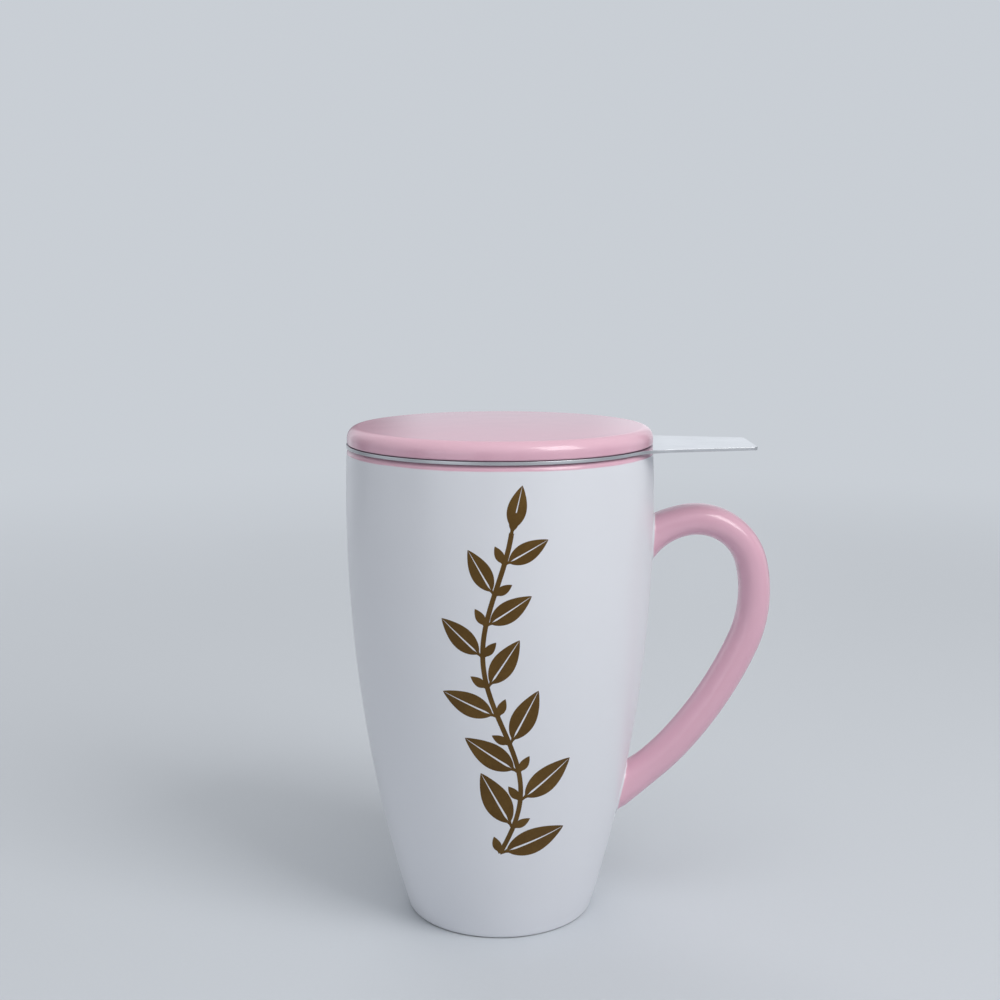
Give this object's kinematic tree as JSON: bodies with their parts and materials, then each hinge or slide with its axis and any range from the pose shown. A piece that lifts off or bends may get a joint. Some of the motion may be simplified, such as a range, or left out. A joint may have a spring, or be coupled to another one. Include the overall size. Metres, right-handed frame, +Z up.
{
  "type": "lidded tea mug with infuser",
  "caption": "Tall glazed tea mug with a looped handle, a lift-out steel basket infuser hung from the rim by a tabbed plate, and a flat lift-off lid.",
  "frame": {"origin": "on the mug's axis, in the plane of its foot", "axes": "+Z up along the mug's axis, +X towards the handle and the finger tab, +Y to the back"},
  "size_m": [0.1198, 0.0862, 0.1409],
  "materials": {
    "white_glaze": "smooth white glaze, pink inside and over the rim",
    "pink_glaze": "smooth pink glaze",
    "polished_steel": "mirror-polished stainless steel sheet"
  },
  "bodies": {
    "mug": {"mug_body": "white_glaze", "mug_handle": "pink_glaze"},
    "infuser": {"rim_plate": "polished_steel", "collar": "polished_steel", "strainer_sleeve": "polished_steel", "base_ring": "polished_steel", "base_disc": "polished_steel"},
    "lid": {"lid": "pink_glaze"}
  },
  "joints": [
    {"name": "infuser_lift", "type": "slide", "parent": "mug", "child": "infuser", "axis": [0, 0, 1], "range_m": [0, 0.0769]},
    {"name": "lid_lift", "type": "slide", "parent": "infuser", "child": "lid", "axis": [0, 0, 1], "range_m": [0, 0.0132]}
  ]
}
